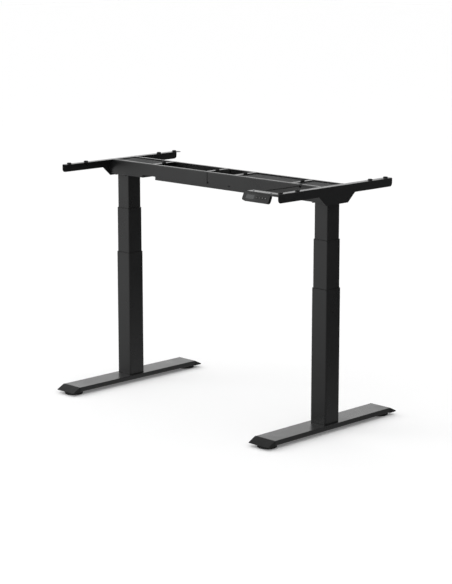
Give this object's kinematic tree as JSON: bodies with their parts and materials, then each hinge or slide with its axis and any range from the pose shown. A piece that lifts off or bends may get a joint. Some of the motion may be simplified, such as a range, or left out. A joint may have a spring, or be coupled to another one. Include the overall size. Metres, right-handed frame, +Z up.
{
  "type": "height adjustable standing desk frame",
  "caption": "Height adjustable standing desk frame with telescopic square columns, long flat feet, an extendable beam and a push-button handset.",
  "frame": {"origin": "on the floor, under the middle of the frame", "axes": "+X along the beam, from the left leg to the right leg; +Y to the back, away from the user; +Z up"},
  "size_m": [1.155, 0.7, 0.9128],
  "materials": {
    "coated_steel": "fine-textured black powder coat, satin",
    "clean_steel": "bright zinc plated steel",
    "black_plastic": "moulded black plastic, fine grain",
    "cover_plastic": "matte dark grey plastic",
    "black_rubber": "matte black rubber",
    "nut_plastic": "off-white nylon",
    "display_glass": "dark glossy window"
  },
  "bodies": {
    "right_base": {"right_foot": "coated_steel", "right_front_cap": "black_plastic", "right_rear_cap": "black_plastic", "right_outer_tube": "coated_steel", "right_outer_collar": "black_plastic", "right_screw_post": "clean_steel"},
    "right_front_glide": {"right_front_glide": "black_rubber"},
    "right_rear_glide": {"right_rear_glide": "black_rubber"},
    "right_mid": {"right_mid_tube": "coated_steel", "right_mid_collar": "black_plastic", "right_mid_carrier": "nut_plastic"},
    "right_hollow_screw": {"right_hollow_screw": "clean_steel"},
    "right_top": {"right_inner_tube": "coated_steel", "right_head": "coated_steel", "right_gearbox": "clean_steel", "right_motor": "clean_steel", "right_cover": "cover_plastic", "right_rail": "coated_steel", "right_bracket": "coated_steel", "right_pad_1": "black_rubber", "right_pad_2": "black_rubber", "right_pad_3": "black_rubber", "right_pad_4": "black_rubber", "control_box": "cover_plastic", "power_inlet": "black_plastic", "handset_body": "black_plastic", "handset_display": "display_glass", "handset_mount": "coated_steel", "handset_cable": "black_rubber"},
    "right_drive_screw": {"right_drive_screw": "clean_steel"},
    "button_up": {"button_up": "black_plastic"},
    "button_down": {"button_down": "black_plastic"},
    "button_memory_two": {"button_memory_two": "black_plastic"},
    "button_memory_one": {"button_memory_one": "black_plastic"},
    "centre": {"centre_beam": "coated_steel"},
    "left_top": {"left_inner_tube": "coated_steel", "left_head": "coated_steel", "left_gearbox": "clean_steel", "left_motor": "clean_steel", "left_cover": "cover_plastic", "left_rail": "coated_steel", "left_bracket": "coated_steel", "left_pad_1": "black_rubber", "left_pad_2": "black_rubber", "left_pad_3": "black_rubber", "left_pad_4": "black_rubber"},
    "left_drive_screw": {"left_drive_screw": "clean_steel"},
    "left_mid": {"left_mid_tube": "coated_steel", "left_mid_collar": "black_plastic", "left_mid_carrier": "nut_plastic"},
    "left_hollow_screw": {"left_hollow_screw": "clean_steel"},
    "left_base": {"left_foot": "coated_steel", "left_front_cap": "black_plastic", "left_rear_cap": "black_plastic", "left_outer_tube": "coated_steel", "left_outer_collar": "black_plastic", "left_screw_post": "clean_steel"},
    "left_front_glide": {"left_front_glide": "black_rubber"},
    "left_rear_glide": {"left_rear_glide": "black_rubber"}
  },
  "joints": [
    {"name": "right_lower_stage", "type": "slide", "parent": "right_base", "child": "right_mid", "axis": [0, 0, 1], "range_m": [-0.13, 0.195]},
    {"name": "right_upper_stage", "type": "slide", "parent": "right_mid", "child": "right_top", "axis": [0, 0, 1], "range_m": [-0.13, 0.195]},
    {"name": "left_upper_stage", "type": "slide", "parent": "left_top", "child": "left_mid", "axis": [0, 0, -1], "range_m": [-0.13, 0.195]},
    {"name": "left_lower_stage", "type": "slide", "parent": "left_mid", "child": "left_base", "axis": [0, 0, -1], "range_m": [-0.13, 0.195]},
    {"name": "right_hollow_screw_turn", "type": "hinge", "parent": "right_mid", "child": "right_hollow_screw", "pos_m": [0.5285, 0, 0.42], "axis": [0, 0, 1], "range_deg": [-3910, 5860]},
    {"name": "right_drive_screw_turn", "type": "hinge", "parent": "right_top", "child": "right_drive_screw", "pos_m": [0.5285, 0, 0.58], "axis": [0, 0, 1], "range_deg": [-3910, 5860]},
    {"name": "left_hollow_screw_turn", "type": "hinge", "parent": "left_mid", "child": "left_hollow_screw", "pos_m": [-0.5285, 0, 0.42], "axis": [0, 0, 1], "range_deg": [-3910, 5860]},
    {"name": "left_drive_screw_turn", "type": "hinge", "parent": "left_top", "child": "left_drive_screw", "pos_m": [-0.5285, 0, 0.58], "axis": [0, 0, 1], "range_deg": [-3910, 5860]},
    {"name": "beam_right_slide", "type": "slide", "parent": "right_top", "child": "centre", "axis": [-1, 0, 0], "range_m": [0, 0.2]},
    {"name": "beam_left_slide", "type": "slide", "parent": "centre", "child": "left_top", "axis": [-1, 0, 0], "range_m": [0, 0.2]},
    {"name": "right_front_glide_turn", "type": "hinge", "parent": "right_base", "child": "right_front_glide", "pos_m": [0.5285, -0.306, 0.004], "axis": [0, 0, 1], "continuous": true},
    {"name": "right_rear_glide_turn", "type": "hinge", "parent": "right_base", "child": "right_rear_glide", "pos_m": [0.5285, 0.306, 0.004], "axis": [0, 0, 1], "continuous": true},
    {"name": "left_front_glide_turn", "type": "hinge", "parent": "left_base", "child": "left_front_glide", "pos_m": [-0.5285, -0.306, 0.004], "axis": [0, 0, 1], "continuous": true},
    {"name": "left_rear_glide_turn", "type": "hinge", "parent": "left_base", "child": "left_rear_glide", "pos_m": [-0.5285, 0.306, 0.004], "axis": [0, 0, 1], "continuous": true},
    {"name": "button_up_press", "type": "slide", "parent": "right_top", "child": "button_up", "axis": [0, 0.9063, -0.4226], "range_m": [0, 0.0012], "stiffness_N_per_m": 300},
    {"name": "button_down_press", "type": "slide", "parent": "right_top", "child": "button_down", "axis": [0, 0.9063, -0.4226], "range_m": [0, 0.0012], "stiffness_N_per_m": 300},
    {"name": "button_memory_two_press", "type": "slide", "parent": "right_top", "child": "button_memory_two", "axis": [0, 0.9063, -0.4226], "range_m": [0, 0.0012], "stiffness_N_per_m": 300},
    {"name": "button_memory_one_press", "type": "slide", "parent": "right_top", "child": "button_memory_one", "axis": [0, 0.9063, -0.4226], "range_m": [0, 0.0012], "stiffness_N_per_m": 300}
  ],
  "couplings": [
    {"joint": "right_upper_stage", "follows": "right_lower_stage", "ratio": 1},
    {"joint": "left_upper_stage", "follows": "right_lower_stage", "ratio": 1},
    {"joint": "left_lower_stage", "follows": "right_lower_stage", "ratio": 1},
    {"joint": "right_hollow_screw_turn", "follows": "right_lower_stage", "rad_per_m": 523.6},
    {"joint": "right_drive_screw_turn", "follows": "right_lower_stage", "rad_per_m": 523.6},
    {"joint": "left_hollow_screw_turn", "follows": "right_lower_stage", "rad_per_m": 523.6},
    {"joint": "left_drive_screw_turn", "follows": "right_lower_stage", "rad_per_m": 523.6}
  ]
}
